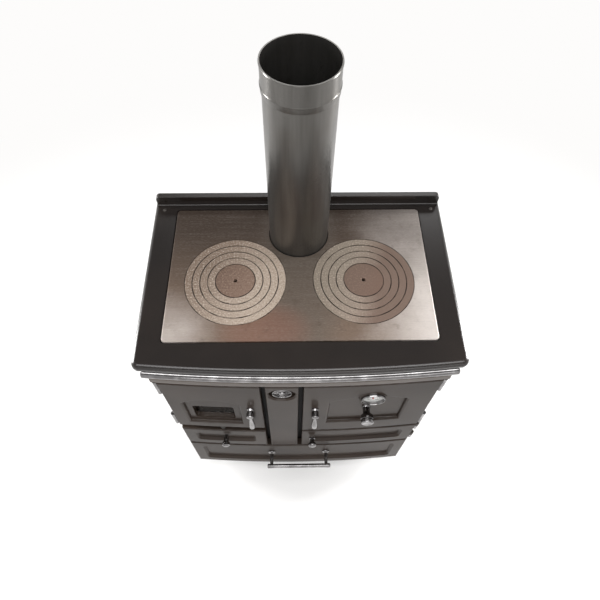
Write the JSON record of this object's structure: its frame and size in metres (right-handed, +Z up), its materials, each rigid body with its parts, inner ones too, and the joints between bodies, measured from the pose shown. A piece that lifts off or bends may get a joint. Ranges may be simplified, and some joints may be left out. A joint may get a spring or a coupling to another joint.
{
  "type": "cast iron range cooker",
  "caption": "Bow-fronted solid fuel range cooker with a ground hotplate and lift-out rings, a flue, hinged doors, an ash drawer and a storage drawer.",
  "frame": {"origin": "on the floor, midway along the hob's width and midway between the drawer handle's front and the hob's back", "axes": "+X to the right seen from the front, +Y from the front to the back, +Z up"},
  "size_m": [0.77, 0.55, 1.4],
  "materials": {
    "enamel": "dark brown-black vitreous enamel, glossy",
    "enamelled_panel": "dark enamelled panel, satin",
    "chrome": "polished chrome plate",
    "ground_iron": "ground and seasoned cast iron",
    "steel": "mild steel sheet",
    "flue_steel": "dark grey flue steel, satin",
    "firebrick": "fired refractory brick",
    "window_glass": "heat resisting glass",
    "dial_face": "silver-white printed dial",
    "needle": "black painted steel",
    "rope": "woven glass fibre rope"
  },
  "bodies": {
    "range_body": {"base_frame": "enamelled_panel", "levelling_feet": "steel", "side_panel_left": "enamelled_panel", "side_panel_right": "enamelled_panel", "back_panel": "enamelled_panel", "front_plate": "enamel", "centre_pillar": "enamel", "hinge_pintles": "chrome", "hob_surround": "enamel", "surround_screws": "chrome", "rear_upstand": "enamel", "hotplate": "ground_iron", "flue_pipe": "flue_steel", "flue_collar": "ground_iron", "smoke_shelf": "steel", "rail_bar": "chrome", "rail_posts": "chrome", "firebox_shell": "steel", "ash_tunnel": "steel", "fire_grate": "ground_iron", "firebricks": "firebrick", "oven_box": "steel", "oven_shelves": "steel", "warming_box": "steel", "drawer_runners": "steel"},
    "left_ring_1": {"left_ring_1": "ground_iron"},
    "left_ring_2": {"left_ring_2": "ground_iron"},
    "left_ring_3": {"left_ring_3": "ground_iron"},
    "left_ring_4": {"left_ring_4": "ground_iron"},
    "left_ring_lid": {"left_ring_lid": "ground_iron"},
    "right_ring_1": {"right_ring_1": "ground_iron"},
    "right_ring_2": {"right_ring_2": "ground_iron"},
    "right_ring_3": {"right_ring_3": "ground_iron"},
    "right_ring_4": {"right_ring_4": "ground_iron"},
    "right_ring_lid": {"right_ring_lid": "ground_iron"},
    "air_wheel": {"air_wheel": "chrome"},
    "riddling_grate": {"riddling_grate": "ground_iron"},
    "firebox_door": {"firebox_door_frame": "enamel", "firebox_door_glass": "window_glass", "glass_clips": "steel", "firebox_door_seal": "rope", "firebox_door_hinges": "chrome"},
    "firebox_latch": {"firebox_door_latch": "chrome"},
    "oven_door": {"oven_door_panel": "enamel", "oven_door_liner": "steel", "oven_door_seal": "rope", "oven_door_hinges": "chrome", "thermometer_bezel": "chrome", "thermometer_dial": "dial_face"},
    "oven_latch": {"oven_door_latch": "chrome"},
    "vent_knob": {"vent_knob": "chrome"},
    "thermometer_needle": {"thermometer_needle": "needle"},
    "warming_door": {"warming_door_panel": "enamel", "warming_door_seal": "rope"},
    "warming_knob": {"warming_door_knob": "chrome"},
    "ash_drawer": {"ash_drawer_front": "enamel", "ash_pan": "steel"},
    "storage_drawer": {"drawer_front": "enamel", "drawer_box": "steel", "drawer_handle": "chrome"}
  },
  "joints": [
    {"name": "left_ring_1_lift", "type": "slide", "parent": "range_body", "child": "left_ring_1", "axis": [0, 0, 1], "range_m": [0, 0.12]},
    {"name": "left_ring_2_lift", "type": "slide", "parent": "left_ring_1", "child": "left_ring_2", "axis": [0, 0, 1], "range_m": [0, 0.12]},
    {"name": "left_ring_3_lift", "type": "slide", "parent": "left_ring_2", "child": "left_ring_3", "axis": [0, 0, 1], "range_m": [0, 0.12]},
    {"name": "left_ring_4_lift", "type": "slide", "parent": "left_ring_3", "child": "left_ring_4", "axis": [0, 0, 1], "range_m": [0, 0.12]},
    {"name": "left_ring_lid_lift", "type": "slide", "parent": "left_ring_4", "child": "left_ring_lid", "axis": [0, 0, 1], "range_m": [0, 0.12]},
    {"name": "right_ring_1_lift", "type": "slide", "parent": "range_body", "child": "right_ring_1", "axis": [0, 0, 1], "range_m": [0, 0.12]},
    {"name": "right_ring_2_lift", "type": "slide", "parent": "right_ring_1", "child": "right_ring_2", "axis": [0, 0, 1], "range_m": [0, 0.12]},
    {"name": "right_ring_3_lift", "type": "slide", "parent": "right_ring_2", "child": "right_ring_3", "axis": [0, 0, 1], "range_m": [0, 0.12]},
    {"name": "right_ring_4_lift", "type": "slide", "parent": "right_ring_3", "child": "right_ring_4", "axis": [0, 0, 1], "range_m": [0, 0.12]},
    {"name": "right_ring_lid_lift", "type": "slide", "parent": "right_ring_4", "child": "right_ring_lid", "axis": [0, 0, 1], "range_m": [0, 0.12]},
    {"name": "air_wheel_turn", "type": "hinge", "parent": "range_body", "child": "air_wheel", "pos_m": [-0.046, -0.218, 0.757], "axis": [0, 1, 0], "range_deg": [0, 270]},
    {"name": "riddling_pull", "type": "slide", "parent": "range_body", "child": "riddling_grate", "axis": [0, -1, 0], "range_m": [0, 0.018]},
    {"name": "firebox_door_swing", "type": "hinge", "parent": "range_body", "child": "firebox_door", "pos_m": [-0.3515, -0.20653, 0.653], "axis": [0, 0, -1], "range_deg": [0, 110]},
    {"name": "firebox_latch_turn", "type": "hinge", "parent": "firebox_door", "child": "firebox_latch", "pos_m": [-0.131, -0.22785, 0.656], "axis": [0, 1, 0], "range_deg": [0, 60]},
    {"name": "oven_door_swing", "type": "hinge", "parent": "range_body", "child": "oven_door", "pos_m": [0.3515, -0.20653, 0.643], "axis": [0, 0, 1], "range_deg": [0, 110]},
    {"name": "oven_latch_turn", "type": "hinge", "parent": "oven_door", "child": "oven_latch", "pos_m": [0.039, -0.22981, 0.656], "axis": [0, -1, 0], "range_deg": [0, 60]},
    {"name": "vent_knob_turn", "type": "hinge", "parent": "oven_door", "child": "vent_knob", "pos_m": [0.176, -0.22612, 0.64], "axis": [0, 1, 0], "range_deg": [0, 90]},
    {"name": "needle_turn", "type": "hinge", "parent": "oven_door", "child": "thermometer_needle", "pos_m": [0.184, -0.22576, 0.72], "axis": [0, 1, 0], "range_deg": [-135, 135]},
    {"name": "warming_door_swing", "type": "hinge", "parent": "range_body", "child": "warming_door", "pos_m": [0.3515, -0.20653, 0.398], "axis": [0, 0, 1], "range_deg": [0, 110]},
    {"name": "warming_knob_turn", "type": "hinge", "parent": "warming_door", "child": "warming_knob", "pos_m": [0.039, -0.22981, 0.398], "axis": [0, -1, 0], "range_deg": [0, 90]},
    {"name": "ash_drawer_slide", "type": "slide", "parent": "range_body", "child": "ash_drawer", "axis": [0, -1, 0], "range_m": [0, 0.25]},
    {"name": "storage_drawer_slide", "type": "slide", "parent": "range_body", "child": "storage_drawer", "axis": [0, -1, 0], "range_m": [0, 0.28]}
  ]
}
